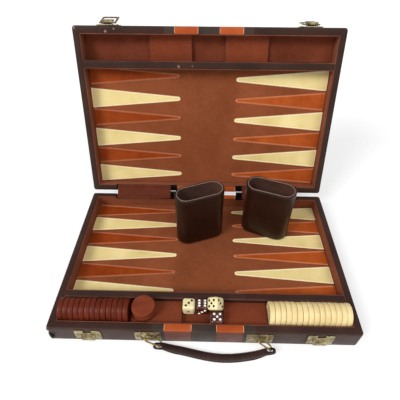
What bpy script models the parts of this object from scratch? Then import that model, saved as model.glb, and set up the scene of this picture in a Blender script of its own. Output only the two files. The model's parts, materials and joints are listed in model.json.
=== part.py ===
"""Attache-style backgammon case, open and set out for play.

Units are metres, +Z is up, and the origin is the centre of the base tray's underside.
The base tray lies flat and the lid stands behind it on two hinges. Both trays are the
same box: a walled shell, a playing field with twelve raised points, a divider rail and a
stepped insert that holds checkers and dice.

A tray is drawn in half coordinates: x across, y from the hinge line (negative towards the
tray's front wall) and z from the hinge line (the rim is just below 0). The lid is the same
drawing turned about its hinge.

Latches and handle plates are drawn in wall coordinates: x along the front wall, y away from
the rim and z out of the wall.
"""
from math import acos, atan2, cos, hypot, pi, radians, sin, tan

import bmesh
import bpy
from mathutils import Euler, Matrix, Vector

MM = 0.001
FIT = 0.3 * MM                  # gap between pieces that touch

# Trays
WIDTH = 381 * MM
DEPTH = 245 * MM
HEIGHT = 28.3 * MM
WALL = 9.9 * MM
CORNER_RADIUS = 4 * MM
EDGE_CHAMFER = 1.0 * MM
FLOOR = 7 * MM
FIELD_TOP = 11.3 * MM
POINT_RELIEF = 0.4 * MM
POCKET_TOP = 10 * MM
BASE_BLOCK_TOP = 21.1 * MM
LID_BLOCK_TOP = 15.5 * MM        # lower, so that the checker rows clear it when shut
DICE_POCKET_TOP = 15 * MM
RAIL_WIDTH = 8.9 * MM
WELL_WIDTH = 35.2 * MM
POINT_LENGTH = 137 * MM
POINT_TIP_RADIUS = 1.6 * MM
POINTS_PER_SIDE = 6

# Insert steps, from the left pocket's right end to the right pocket's left end
BASE_STEPS = (-91.0 * MM, -28.4 * MM, 24.7 * MM, 78.6 * MM)
LID_STEPS = (-85.3 * MM, -24.6 * MM, 24.6 * MM, 85.3 * MM)

# Hinges
HINGE_OFFSET = 2.9 * MM         # hinge line behind the rear wall
RIM_GAP = 0.3 * MM              # between the rims when shut
LID_ANGLE = radians(108.6)      # how far the lid stands open
HINGE_CENTRE = 100 * MM
HINGE_LENGTH = 100 * MM
COVER_CENTRE = 104.6 * MM
COVER_LENGTH = 89.4 * MM
NOTCH_DEPTH = 2.6 * MM
LEAF_THICKNESS = 0.8 * MM
COVER_THICKNESS = 1.0 * MM
KNUCKLE_RADIUS = 2.5 * MM
KNUCKLES = 5
PIN_RADIUS = 1.0 * MM
PIN_PLAY = 0.3 * MM

# Latches
LATCH_X = 141 * MM
PLATE_WIDTH = 32 * MM
PLATE_DROP = 2.5 * MM           # rim to the plate's edge
PLATE_LENGTH = 20 * MM
PLATE_THICKNESS = 1.0 * MM
LEVER_WIDTH = 13 * MM
LEVER_PIVOT = (2.6 * MM, 5.0 * MM)
LOOP_PIVOT = (6.5 * MM, 3.6 * MM)
BOSS_RADIUS = 1.9 * MM
LOOP_LENGTH = 26.4 * MM
LOOP_ARM = 3.0 * MM
LOOP_INNER = 17.8 * MM
LOOP_THICKNESS = 1.3 * MM
LOOP_BAR_RADIUS = 0.8 * MM
LOOP_TILT = {"left": radians(18), "right": radians(8)}
HOOK_WIDTH = 16.4 * MM

# Handle
HANDLE_X = 67.8 * MM
BRIDGE_OUT = 6.2 * MM
BRIDGE_WIDTH = 12 * MM
BRIDGE_DROP = 8.3 * MM
RING_RADIUS = 3.8 * MM
RING_WIRE = 0.9 * MM
RING_STRAIGHT = 17.6 * MM
RING_SLANT = {"left": radians(51), "right": radians(45)}    # both lean to the right
RING_SWING = {"left": radians(2), "right": radians(8)}
GRIP_WIDTH = 11 * MM
GRIP_END_WIDTH = 9.2 * MM
GRIP_THICKNESS = 5 * MM
GRIP_END_THICKNESS = 2.4 * MM
GRIP_EDGE = 1.2 * MM            # grip's rear edge behind the middle of a ring's end
GRIP_OVERHANG = 6.8 * MM
GRIP_BOW = 9.8 * MM
GRIP_BOW_SHIFT = 11 * MM
GRIP_BOW_REACH = 76 * MM
GRIP_SLOT = (8.6 * MM, 5.0 * MM)

# Dice cups
CUP_WIDTH = 73 * MM
CUP_THICKNESS = 32 * MM
CUP_HEIGHT = 89 * MM
CUP_WALL = 2.4 * MM
LINING_WALL = 0.9 * MM
CUP_PLACES = {"left": (-9 * MM, 48.6 * MM, radians(22)), "right": (92 * MM, 60.3 * MM, radians(-20))}
CUP_ROLL = 12 * MM              # how far a cup rolls forward as it lies down

# Checkers and dice
CHECKER_RADIUS = 15 * MM
CHECKER_THICKNESS = 6.7 * MM
ROWS = {"dark": (-1, 13), "cream": (1, 15)}
LOOSE_CHECKERS = (-75.5 * MM, 1.6 * MM)   # x, and y behind the middle of the well
DIE = 16 * MM
DIE_ROUNDING = 2.6 * MM

# Places that follow from the dimensions above
HINGE_Y = DEPTH / 2 + HINGE_OFFSET
HINGE_Z = HEIGHT + RIM_GAP / 2
RIM_Z = -RIM_GAP / 2
BOTTOM_Z = RIM_Z - HEIGHT
REAR_Y = -HINGE_OFFSET
FRONT_Y = REAR_Y - DEPTH
INNER_X = WIDTH / 2 - WALL
INNER_REAR = REAR_Y - WALL
INNER_FRONT = FRONT_Y + WALL
RAIL_FRONT = INNER_FRONT + WELL_WIDTH
FIELD_FRONT = RAIL_FRONT + RAIL_WIDTH
WELL_Y = -DEPTH / 2 + WALL + WELL_WIDTH / 2

COLOURS = {
    "vinyl": ((0.085, 0.05, 0.042), 0.5, 0.0),
    "lining": ((0.24, 0.075, 0.035), 0.7, 0.0),
    "hinge_vinyl": ((0.27, 0.11, 0.05), 0.6, 0.0),
    "brass": ((0.42, 0.36, 0.2), 0.35, 1.0),
    "steel": ((0.03, 0.03, 0.03), 0.4, 1.0),
    "grip": ((0.07, 0.04, 0.035), 0.45, 0.0),
    "cup_leather": ((0.045, 0.018, 0.012), 0.45, 0.0),
    "cup_suede": ((0.07, 0.035, 0.028), 0.95, 0.0),
    "dark_checker": ((0.16, 0.03, 0.02), 0.35, 0.0),
    "cream_checker": ((0.75, 0.6, 0.3), 0.3, 0.0),
}


def clear_scene():
    for obj in list(bpy.data.objects):
        bpy.data.objects.remove(obj, do_unlink=True)


def material(name):
    """The Principled material of one of the case's finishes."""
    if name in bpy.data.materials:
        return bpy.data.materials[name]
    colour, roughness, metallic = COLOURS[name]
    mat = bpy.data.materials.new(name)
    mat.use_nodes = True
    shader = mat.node_tree.nodes["Principled BSDF"]
    shader.inputs["Base Color"].default_value = (*colour, 1)
    shader.inputs["Roughness"].default_value = roughness
    shader.inputs["Metallic"].default_value = metallic
    return mat


def empty(name, location, rotation=(0, 0, 0), parent=None):
    """A joint's or a tray's own coordinate system."""
    obj = bpy.data.objects.new(name, None)
    bpy.context.scene.collection.objects.link(obj)
    obj.location = location
    obj.rotation_euler = rotation
    obj.parent = parent
    return obj


def add_object(name, bm, finish, parent=None, matrix=None, smooth=True):
    """Turns a bmesh into a named object, moved by matrix and held by parent."""
    if matrix is not None:
        bm.transform(matrix)
    bmesh.ops.recalc_face_normals(bm, faces=bm.faces)
    mesh = bpy.data.meshes.new(name)
    bm.to_mesh(mesh)
    bm.free()
    if smooth:
        mesh.shade_smooth()
        mesh.set_sharp_from_angle(angle=radians(35))
    obj = bpy.data.objects.new(name, mesh)
    bpy.context.scene.collection.objects.link(obj)
    obj.parent = parent
    mesh.materials.append(material(finish))
    return obj


def combine(obj, bm, operation):
    """Cuts a tool out of obj (DIFFERENCE) or joins it on (UNION)."""
    tool = add_object(f"{obj.name}_tool", bm, obj.data.materials[0].name, obj.parent, smooth=False)
    tool.hide_render = True
    tool.display_type = "WIRE"
    modifier = obj.modifiers.new(operation.title(), "BOOLEAN")
    modifier.operation = operation
    modifier.object = tool
    modifier.solver = "EXACT"


def loft(rings, closed=False):
    """A body through rings of equally many points, capped at both ends unless closed."""
    bm = bmesh.new()
    loops = [[bm.verts.new(point) for point in ring] for ring in rings]
    pairs = list(zip(loops, loops[1:]))
    if closed:
        pairs.append((loops[-1], loops[0]))
    for lower, upper in pairs:
        count = len(lower)
        for i in range(count):
            j = (i + 1) % count
            bm.faces.new((lower[i], lower[j], upper[j], upper[i]))
    if not closed:
        bm.faces.new(list(reversed(loops[0])))
        bm.faces.new(loops[-1])
    return bm


def box(low, high):
    corners = ((low[0], low[1]), (high[0], low[1]), (high[0], high[1]), (low[0], high[1]))
    return loft([[(x, y, z) for x, y in corners] for z in (low[2], high[2])])


def prism_x(outline, x0, x1):
    """An outline in the y-z plane, extruded along x."""
    return loft([[(x, y, z) for y, z in outline] for x in (x0, x1)])


def prism_y(outline, y0, y1):
    """An outline in the x-z plane, extruded along y."""
    return loft([[(x, y, z) for x, z in outline] for y in (y0, y1)])


def prism_z(outline, z0, z1):
    """An outline in the x-y plane, extruded along z."""
    return loft([[(x, y, z) for x, y in outline] for z in (z0, z1)])


def arc(centre, radius, start, end, steps):
    """Points on an arc, angles in degrees."""
    angles = [radians(start + (end - start) * i / steps) for i in range(steps + 1)]
    return [(centre[0] + radius * cos(a), centre[1] + radius * sin(a)) for a in angles]


def rounded_rect(x0, x1, y0, y1, radius, steps=3):
    corners = (((x1 - radius, y1 - radius), 0), ((x0 + radius, y1 - radius), 90),
               ((x0 + radius, y0 + radius), 180), ((x1 - radius, y0 + radius), 270))
    points = []
    for centre, start in corners:
        points += arc(centre, radius, start, start + 90, steps)
    return points


def rod_x(centre, radius, x0, x1, sides=14):
    """A round bar along x about centre, which is (y, z)."""
    circle = arc(centre, radius, 0, 360 * (sides - 1) / sides, sides - 1)
    return prism_x(circle, x0, x1)


def merged(parts):
    """Several bmeshes as one, for use as a single tool."""
    total = bmesh.new()
    for part in parts:
        mesh = bpy.data.meshes.new("part")
        part.to_mesh(mesh)
        part.free()
        total.from_mesh(mesh)
        bpy.data.meshes.remove(mesh)
    return total


def tube(path, radius, sides=8):
    """A closed ring of wire along a closed flat path in the x-y plane."""
    rings = []
    count = len(path)
    for i, (x, y) in enumerate(path):
        before, after = path[i - 1], path[(i + 1) % count]
        heading = atan2(after[1] - before[1], after[0] - before[0])
        side = Vector((sin(heading), -cos(heading), 0))
        ring = []
        for k in range(sides):
            turn = 2 * pi * k / sides
            ring.append(Vector((x, y, 0)) + side * radius * cos(turn) + Vector((0, 0, radius * sin(turn))))
        rings.append(ring)
    return loft(rings, closed=True)


# Trays ------------------------------------------------------------------------------------

def from_bottom(height):
    """The z of a height above a tray's underside."""
    return BOTTOM_Z + height


def make_shell(name, parent):
    """The wooden box with its vinyl covering, notched for the hinge leaves."""
    half = WIDTH / 2
    c = EDGE_CHAMFER

    def outer(inset, z):
        shape = rounded_rect(-half + inset, half - inset, FRONT_Y + inset, REAR_Y - inset, CORNER_RADIUS - inset)
        return [(x, y, z) for x, y in shape]

    def cavity(outset, z):
        shape = rounded_rect(-INNER_X - outset, INNER_X + outset, INNER_FRONT - outset, INNER_REAR + outset,
                             0.5 * MM + outset)
        return [(x, y, z) for x, y in shape]

    rings = [outer(c, BOTTOM_Z), outer(0, BOTTOM_Z + c), outer(0, RIM_Z - c), outer(c, RIM_Z),
             cavity(0.6 * MM, RIM_Z), cavity(0, RIM_Z - 0.6 * MM), cavity(0, from_bottom(FLOOR))]
    shell = add_object(name, loft(rings), "vinyl", parent)
    length = HINGE_LENGTH / 2 + FIT
    notches = [box((side * HINGE_CENTRE - length, INNER_REAR - 1 * MM, RIM_Z - NOTCH_DEPTH),
                   (side * HINGE_CENTRE + length, REAR_Y + 1 * MM, RIM_Z + 1 * MM)) for side in (-1, 1)]
    combine(shell, merged(notches), "DIFFERENCE")


def point_outline(side, middle, pitch):
    """One long triangular point, from the side wall to its rounded tip."""
    foot = side * (INNER_X - 1.2 * MM)
    tip = foot - side * POINT_LENGTH
    half = pitch / 2 - 0.5 * MM
    centre = (tip + side * POINT_TIP_RADIUS, middle)
    start = 90 if side > 0 else -90
    return [(foot, middle - side * half), (foot, middle + side * half)] \
        + arc(centre, POINT_TIP_RADIUS, start, start + 180, 4)


def make_field(name, parent):
    """The playing board with its twelve raised points."""
    front, rear = FIELD_FRONT + FIT, INNER_REAR - FIT
    top = from_bottom(FIELD_TOP)
    board = box((-INNER_X + FIT, front, from_bottom(FLOOR) + FIT), (INNER_X - FIT, rear, top))
    field = add_object(name, board, "lining", parent)
    pitch = (rear - front) / POINTS_PER_SIDE
    points = [prism_z(point_outline(side, front + pitch * (i + 0.5), pitch), top - 1 * MM, top + POINT_RELIEF)
              for side in (-1, 1) for i in range(POINTS_PER_SIDE)]
    combine(field, merged(points), "UNION")


def make_rail(name, parent):
    """The rail between the field and the wells, with rounded top edges."""
    y0, y1 = RAIL_FRONT, FIELD_FRONT
    top, r = RIM_Z - 0.2 * MM, 1.2 * MM
    outline = [(y0, from_bottom(FLOOR) + FIT), (y1, from_bottom(FLOOR) + FIT)]
    outline += arc((y1 - r, top - r), r, 0, 90, 2) + arc((y0 + r, top - r), r, 90, 180, 2)
    add_object(name, prism_x(outline, -INNER_X + FIT, INNER_X - FIT), "vinyl", parent)


def make_insert(name, parent, steps, block_top, dice_pocket_top):
    """The stepped insert: pocket, block, dice pocket, block, pocket."""
    end = INNER_X - FIT
    levels = (POCKET_TOP, block_top, dice_pocket_top, block_top, POCKET_TOP)
    edges = (-end, *steps, end)
    outline = [(end, from_bottom(FLOOR) + FIT), (-end, from_bottom(FLOOR) + FIT)]
    for x0, x1, level in zip(edges, edges[1:], levels):
        outline += [(x0, from_bottom(level)), (x1, from_bottom(level))]
    add_object(name, prism_y(outline, INNER_FRONT + FIT, RAIL_FRONT - FIT), "lining", parent, smooth=False)


def make_tray(prefix, parent, steps, block_top, dice_pocket_top):
    make_shell(f"{prefix}_shell", parent)
    make_field(f"{prefix}_field", parent)
    make_rail(f"{prefix}_divider", parent)
    make_insert(f"{prefix}_well_insert", parent, steps, block_top, dice_pocket_top)


# Hinges -----------------------------------------------------------------------------------

def make_leaf(name, parent, centre, first):
    """A hinge leaf in its notch, with every second knuckle from first on, bored for the pin."""
    low = RIM_Z - NOTCH_DEPTH + FIT / 2
    left = centre - HINGE_LENGTH / 2
    step = HINGE_LENGTH / KNUCKLES
    rear = REAR_Y - 0.1 * MM
    plate = box((left, INNER_REAR - 0.4 * MM, low), (left + HINGE_LENGTH, rear, low + LEAF_THICKNESS))
    leaf = add_object(name, plate, "steel", parent)
    for i in range(first, KNUCKLES, 2):
        x0, x1 = left + i * step + FIT, left + (i + 1) * step - FIT
        combine(leaf, box((x0, rear - 1 * MM, low), (x1, 0, low + LEAF_THICKNESS)), "UNION")
        combine(leaf, rod_x((0, 0), KNUCKLE_RADIUS, x0, x1), "UNION")
    bore = rod_x((0, 0), PIN_RADIUS + PIN_PLAY, left - 1 * MM, left + HINGE_LENGTH + 1 * MM)
    combine(leaf, bore, "DIFFERENCE")


def make_hinge_cover(name, parent, centre):
    """The soft vinyl strip that lies over a hinge leaf in its notch."""
    low = RIM_Z - NOTCH_DEPTH + FIT / 2 + LEAF_THICKNESS + FIT
    half = COVER_LENGTH / 2
    cover = box((centre - half, INNER_REAR - 0.4 * MM, low), (centre + half, REAR_Y - 0.2 * MM, low + COVER_THICKNESS))
    add_object(name, cover, "hinge_vinyl", parent, smooth=False)


def make_hinges(base, lid, pins):
    """Two hinges; the lid's x runs the other way, so its leaf there is at -x."""
    for side, sign in (("left", -1), ("right", 1)):
        make_leaf(f"hinge_leaf_base_{side}", base, sign * HINGE_CENTRE, first=0)
        make_leaf(f"hinge_leaf_lid_{side}", lid, -sign * HINGE_CENTRE, first=1)
        make_hinge_cover(f"hinge_cover_base_{side}", base, sign * COVER_CENTRE)
        make_hinge_cover(f"hinge_cover_lid_{side}", lid, -sign * COVER_CENTRE)
        half = HINGE_LENGTH / 2
        pin = rod_x((0, 0), PIN_RADIUS, sign * HINGE_CENTRE - half, sign * HINGE_CENTRE + half, sides=10)
        add_object(f"hinge_pin_{side}", pin, "steel", pins)


# Latches ----------------------------------------------------------------------------------

def wall_matrix(x):
    """Wall coordinates on a tray's front wall, centred at x, in half coordinates."""
    axes = Matrix(((-1, 0, 0), (0, 0, -1), (0, -1, 0))).transposed().to_4x4()
    return Matrix.Translation((x, FRONT_Y, RIM_Z)) @ axes


def plate(width, y0, y1, radius=2 * MM):
    """A thin stamped plate a fit's gap off the wall."""
    outline = rounded_rect(-width / 2, width / 2, y0, y1, radius)
    return prism_z(outline, FIT, FIT + PLATE_THICKNESS)


def make_catch(name, base, x):
    """The base's catch: a plate with a bent tab that the loop's bar tucks behind."""
    y0, y1 = PLATE_DROP, PLATE_DROP + PLATE_LENGTH
    half = HOOK_WIDTH / 2
    matrix = wall_matrix(x)
    catch = add_object(name, plate(PLATE_WIDTH, y0, y1), "brass", base, matrix)
    window = box((-5 * MM, y0 - 1 * MM, 0), (5 * MM, 8 * MM, 3 * MM))
    window.transform(matrix)
    combine(catch, window, "DIFFERENCE")
    tab = prism_x([(9 * MM, 0.8 * MM), (13 * MM, 0.8 * MM), (15 * MM, 3.3 * MM), (20.5 * MM, 3.4 * MM),
                   (20.5 * MM, 4.5 * MM), (14.5 * MM, 4.4 * MM), (12 * MM, 3.2 * MM)], -half, half)
    tab.transform(matrix)
    combine(catch, tab, "UNION")


def make_latch(side, lid, x):
    """The lid's latch: plate with lugs, pivot pin, lever, and the loop that reaches the catch."""
    matrix = wall_matrix(x)
    py, pz = LEVER_PIVOT
    lug_in, lug_out = LEVER_WIDTH / 2 + FIT, LEVER_WIDTH / 2 + FIT + 1 * MM
    base_plate = add_object(f"latch_plate_{side}", plate(PLATE_WIDTH, 1 * MM, 1 * MM + PLATE_LENGTH), "brass",
                            lid, matrix)
    lugs = []
    for sign in (-1, 1):
        outline = [(py - BOSS_RADIUS + 0.5 * MM, 0.8 * MM), (py + BOSS_RADIUS, 0.8 * MM)]
        outline += arc((py, pz), BOSS_RADIUS - 0.1 * MM, 0, 180, 6)
        ends = sorted((sign * lug_in, sign * lug_out))
        lugs.append(prism_x(outline, *ends))
    lug_tool = merged(lugs)
    lug_tool.transform(matrix)
    combine(base_plate, lug_tool, "UNION")
    bore = rod_x((py, pz), 1.1 * MM, -lug_out - 1 * MM, lug_out + 1 * MM)
    bore.transform(matrix)
    combine(base_plate, bore, "DIFFERENCE")
    add_object(f"latch_pin_{side}", rod_x((py, pz), 0.8 * MM, -lug_out, lug_out, sides=10), "brass", lid, matrix)

    lever_pivot = empty(f"latch_lever_pivot_{side}", matrix @ Vector((0, py, pz)), matrix.to_euler(), lid)
    qy, qz = LOOP_PIVOT[0] - py, LOOP_PIVOT[1] - pz
    make_lever(f"latch_lever_{side}", lever_pivot, qy, qz)
    loop_pivot = empty(f"latch_loop_pivot_{side}", (0, qy, qz), (LOOP_TILT[side], 0, 0), lever_pivot)
    make_loop(f"latch_loop_{side}", loop_pivot)


def make_lever(name, pivot, qy, qz):
    """A pressed lever with a barrel for each pin and a finger end curled away from the wall."""
    t = 1.3 * MM
    half = LEVER_WIDTH / 2
    outline = arc((0, 0), BOSS_RADIUS, 80, 250, 6)
    outline += arc((qy, qz), BOSS_RADIUS, 235, 345, 5)
    outline += [(qy + 7 * MM, qz + 0.4 * MM), (qy + 11.5 * MM, qz + 3.4 * MM), (qy + 10.6 * MM, qz + 3.4 * MM + t),
                (qy + 6.6 * MM, qz + 0.6 * MM + t), (qy + 1 * MM, BOSS_RADIUS - 0.4 * MM)]
    lever = add_object(name, prism_x(outline, -half, half), "brass", pivot)
    for centre in ((0, 0), (qy, qz)):
        combine(lever, rod_x(centre, 1.1 * MM, -half - 1 * MM, half + 1 * MM), "DIFFERENCE")


def make_loop(name, pivot):
    """A flat frame whose near side is a round bar through the lever."""
    inner, outer = LOOP_INNER / 2, LOOP_INNER / 2 + LOOP_ARM
    z = LOOP_THICKNESS / 2
    start = -1.2 * MM
    outline = [(-outer, start), (-inner, start), (-inner, LOOP_LENGTH - LOOP_ARM), (inner, LOOP_LENGTH - LOOP_ARM),
               (inner, start), (outer, start), (outer, LOOP_LENGTH - 1.5 * MM), (outer - 1.5 * MM, LOOP_LENGTH),
               (-outer + 1.5 * MM, LOOP_LENGTH), (-outer, LOOP_LENGTH - 1.5 * MM)]
    loop = add_object(name, prism_z(outline, -z, z), "brass", pivot)
    combine(loop, rod_x((0, 0), LOOP_BAR_RADIUS, -outer + 0.6 * MM, outer - 0.6 * MM, sides=10), "UNION")


# Handle -----------------------------------------------------------------------------------

def make_handle_plate(name, base, x):
    """A plate with a raised bridge for the ring to hang on."""
    matrix = wall_matrix(x)
    half = BRIDGE_WIDTH / 2
    low, bar = FIT + 0.4 * MM, 1 * MM
    out = BRIDGE_OUT
    body = add_object(name, plate(PLATE_WIDTH, 3 * MM, 23 * MM), "brass", base, matrix)
    drop = BRIDGE_DROP
    bridge = [(-half - 4 * MM, low), (-half - 2.4 * MM, low), (-half, out - bar), (half, out - bar),
              (half + 2.4 * MM, low), (half + 4 * MM, low), (half + 0.6 * MM, out + bar), (-half - 0.6 * MM, out + bar)]
    tool = prism_y(bridge, drop - bar, drop + bar)
    tool.transform(matrix)
    combine(body, tool, "UNION")


def ring_frame(side):
    """The middle of a ring's bridge end and the way the ring hangs, in half coordinates."""
    sign = -1 if side == "left" else 1
    bar = wall_matrix(sign * HANDLE_X) @ Vector((0, BRIDGE_DROP, BRIDGE_OUT))
    swing = RING_SWING[side]
    down = Vector((0, -sin(swing), -cos(swing)))
    slant = RING_SLANT[side]
    along = Vector((sin(slant), 0, 0)) + down * cos(slant)
    across = Vector((0, -cos(swing), sin(swing)))
    axes = Matrix((along, across, along.cross(across))).transposed().to_4x4()
    return bar, axes


def ring_grip_end(side):
    """The middle of a ring's grip end, in half coordinates."""
    bar, axes = ring_frame(side)
    return bar + axes.to_3x3() @ Vector((RING_STRAIGHT, 0, 0))


def make_ring(name, side, swing_pivot):
    """An oblong wire ring around the bridge, slanting towards the grip."""
    bar, axes = ring_frame(side)
    path = arc((RING_STRAIGHT, 0), RING_RADIUS, -90, 90, 6) + arc((0, 0), RING_RADIUS, 90, 270, 6)
    matrix = Matrix.Translation(bar - swing_pivot.location) @ axes
    add_object(name, tube(path, RING_WIRE), "brass", swing_pivot, matrix)


def grip_section(x, span, drop):
    """The grip's outline across its length at x, as a flattened octagon."""
    end = span / 2 + GRIP_OVERHANG
    middle = min(1.0, max(0.0, (span / 2 - abs(x) - 5 * MM) / (10 * MM)))
    tip = min(1.0, (end - abs(x)) / (4 * MM))
    width = (GRIP_END_WIDTH + (GRIP_WIDTH - GRIP_END_WIDTH) * middle) * (0.5 + 0.5 * tip ** 0.5) / 2
    thick = (GRIP_END_THICKNESS + (GRIP_THICKNESS - GRIP_END_THICKNESS) * middle) / 2
    reach = min(1.0, abs(x - GRIP_BOW_SHIFT) / GRIP_BOW_REACH)
    y = GRIP_EDGE - GRIP_END_WIDTH / 2 - GRIP_BOW * (1 + cos(pi * reach)) / 2
    z = -drop * middle
    shape = ((-1, -0.5), (-0.75, -1), (0.75, -1), (1, -0.5), (1, 0.5), (0.75, 1), (-0.75, 1), (-1, 0.5))
    return [(x, y + v * width, z + w * thick) for v, w in shape]


def make_grip(name, grip_pivot, span, height):
    """The bowed leather grip, with a slot near each end for its ring."""
    end = span / 2 + GRIP_OVERHANG
    drop = height - GRIP_THICKNESS / 2 - FIT
    steps = 22
    stations = [end * sin(pi / 2 * (2 * i / steps - 1)) for i in range(steps + 1)]
    grip = add_object(name, loft([grip_section(x, span, drop) for x in stations]), "grip", grip_pivot)
    length, width = GRIP_SLOT
    y = GRIP_EDGE - 2.4 * MM - width / 2
    slots = []
    for x in (-span / 2, span / 2):
        outline = rounded_rect(x - length / 2, x + length / 2, y - width / 2, y + width / 2, width / 2 - 0.1 * MM)
        slots.append(prism_z(outline, -5 * MM, 5 * MM))
    combine(grip, merged(slots), "DIFFERENCE")


def make_handle(base):
    """Two plates on the wall, two rings that swing together, and the grip between them."""
    swing_pivot = empty("handle_swing_pivot", wall_matrix(0) @ Vector((0, BRIDGE_DROP, BRIDGE_OUT)), parent=base)
    for side, sign in (("left", -1), ("right", 1)):
        make_handle_plate(f"handle_plate_{side}", base, sign * HANDLE_X)
        make_ring(f"handle_ring_{side}", side, swing_pivot)
    left, right = ring_grip_end("left"), ring_grip_end("right")
    run = right - left
    middle = (left + right) / 2
    dip, yaw = -atan2(run.z, hypot(run.x, run.y)), atan2(run.y, run.x)
    grip_pivot = empty("handle_grip_pivot", middle - swing_pivot.location, (0, dip, yaw), swing_pivot)
    make_grip("handle_grip", grip_pivot, run.length, middle.z - BOTTOM_Z)


# Cups, checkers and dice ------------------------------------------------------------------

def stadium(width, thickness, z, steps=7):
    """A ring of points round a flat-sided oval."""
    r = thickness / 2
    run = width / 2 - r
    points = arc((run, 0), r, -90, 90, steps) + arc((-run, 0), r, 90, 270, steps)
    return [(x, y, z) for x, y in points]


def cup_body(width, thickness, height, wall, floor, edge):
    """An open oval tumbler standing on z = 0."""
    def ring(inset, z):
        return stadium(width - 2 * inset, thickness - 2 * inset, z)

    return loft([ring(edge, 0), ring(0, edge), ring(0, height - edge / 2), ring(edge / 2, height),
                 ring(wall - edge / 2, height), ring(wall, height - edge / 2), ring(wall, floor)])


def tip_motion(place, yaw, floor):
    """The line that a standing cup turns about to lie flat, mouth to the front, and the angle.

    The cup's front foot rolls forward while the cup also squares up with the tray, which one
    turn about a slightly slanted line does.
    """
    turn = acos((cos(yaw) - 1) / 2)
    axis = Vector((cos(yaw) + 1, sin(yaw), -sin(yaw))).normalized()
    foot = Vector((place[0], place[1], floor)) + Vector((sin(yaw), -cos(yaw), 0)) * CUP_THICKNESS / 2
    shift = Vector((axis.y / axis.x * CUP_ROLL, -CUP_ROLL, 0))
    pivot = foot + shift / 2 + axis.cross(shift) / (2 * tan(turn / 2))
    return pivot, axis, turn


def make_cups():
    """Two leather dice cups with suede linings, each on its own tipping pivot."""
    floor = FIELD_TOP + POINT_RELIEF + FIT
    bottom = 2.4 * MM
    for side, (x, y, yaw) in CUP_PLACES.items():
        pivot, _, _ = tip_motion((x, y), yaw, floor)
        holder = empty(f"cup_pivot_{side}", pivot)
        place = Matrix.Translation(Vector((x, y, floor)) - pivot) @ Matrix.Rotation(yaw, 4, "Z")
        cup = cup_body(CUP_WIDTH, CUP_THICKNESS, CUP_HEIGHT, CUP_WALL, bottom, 1.2 * MM)
        add_object(f"cup_{side}", cup, "cup_leather", holder, place)
        gap = 2 * (CUP_WALL + FIT)
        lift = bottom + FIT
        lining = cup_body(CUP_WIDTH - gap, CUP_THICKNESS - gap, CUP_HEIGHT - lift - 0.8 * MM, LINING_WALL, 1 * MM,
                          0.3 * MM)
        add_object(f"cup_lining_{side}", lining, "cup_suede", holder, place @ Matrix.Translation((0, 0, lift)))


def disc_rings(x, thickness):
    """The four rings of points that turn one checker about the x axis, from x on."""
    chamfer = 0.7 * MM
    sides = 18
    stations = ((x, CHECKER_RADIUS - 1 * MM), (x + chamfer, CHECKER_RADIUS),
                (x + thickness - chamfer, CHECKER_RADIUS), (x + thickness, CHECKER_RADIUS - 1 * MM))
    return [[(px, y, z) for y, z in arc((0, 0), r, 0, 360 * (sides - 1) / sides, sides - 1)] for px, r in stations]


def make_checkers():
    """A row of checkers on edge in each pocket and a pair lying on the left block."""
    centre_z = POCKET_TOP + FIT + CHECKER_RADIUS
    for colour, (side, count) in ROWS.items():
        length = count * CHECKER_THICKNESS
        start = side * (INNER_X - FIT) - (length if side > 0 else 0)
        rings = []
        for i in range(count):
            rings += disc_rings(start + i * CHECKER_THICKNESS, CHECKER_THICKNESS)[1 if i else 0:]
        place = Matrix.Translation((0, WELL_Y, centre_z))
        add_object(f"checker_row_{colour}", loft(rings), f"{colour}_checker", matrix=place)
    upright = Matrix.Rotation(-pi / 2, 4, "Y")
    x, behind = LOOSE_CHECKERS
    shift = 0.5 * MM
    for i, name in enumerate(("checker_loose_lower", "checker_loose_upper")):
        z = BASE_BLOCK_TOP + FIT + i * (CHECKER_THICKNESS + FIT)
        place = Matrix.Translation((x - i * shift, WELL_Y + behind + i * shift, z)) @ upright
        add_object(name, loft(disc_rings(0, CHECKER_THICKNESS)), "dark_checker", matrix=place)


def make_dice():
    """Four dice in the dice pocket; one cream die leans on its corner above the others."""
    flat_z = DICE_POCKET_TOP + FIT + DIE / 2
    rear_y = -DEPTH / 2 + WALL + WELL_WIDTH - DIE / 2 - 0.6 * MM
    front_y = -DEPTH / 2 + WALL + DIE / 2 + 0.4 * MM
    places = {
        "die_cream_flat": ((-19.5 * MM, rear_y, flat_z), (0, 0, radians(-1)), "cream_checker"),
        "die_brown_rear": ((-2.8 * MM, rear_y, flat_z), (0, 0, 0), "dark_checker"),
        "die_cream_leaning": ((14 * MM, -88.5 * MM, 34.75 * MM), (radians(-65), 0, radians(50)), "cream_checker"),
        "die_brown_front": ((16 * MM, front_y, flat_z), (0, 0, 0), "dark_checker"),
    }
    half = DIE / 2
    for name, (centre, (tilt, _, turn), finish) in places.items():
        matrix = Matrix.Translation(centre) @ Euler((tilt, 0, 0)).to_matrix().to_4x4() @ Matrix.Rotation(turn, 4, "Z")
        die = add_object(name, box((-half, -half, -half), (half, half, half)), finish, matrix=matrix)
        bevel = die.modifiers.new("Rounding", "BEVEL")
        bevel.width = DIE_ROUNDING
        bevel.segments = 2
        bevel.limit_method = "NONE"


def main():
    clear_scene()
    hinge_line = (0, HINGE_Y, HINGE_Z)
    base = empty("base_frame", hinge_line)
    lid = empty("lid_pivot", hinge_line, (LID_ANGLE - pi, 0, pi))
    pins = empty("hinge_pin_pivot", hinge_line)
    make_tray("base", base, BASE_STEPS, BASE_BLOCK_TOP, DICE_POCKET_TOP)
    make_tray("lid", lid, LID_STEPS, LID_BLOCK_TOP, POCKET_TOP)
    make_hinges(base, lid, pins)
    for side, sign in (("left", -1), ("right", 1)):
        make_catch(f"catch_plate_{side}", base, sign * LATCH_X)
        make_latch(side, lid, -sign * LATCH_X)
    make_handle(base)
    make_cups()
    make_checkers()
    make_dice()


main()
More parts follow.
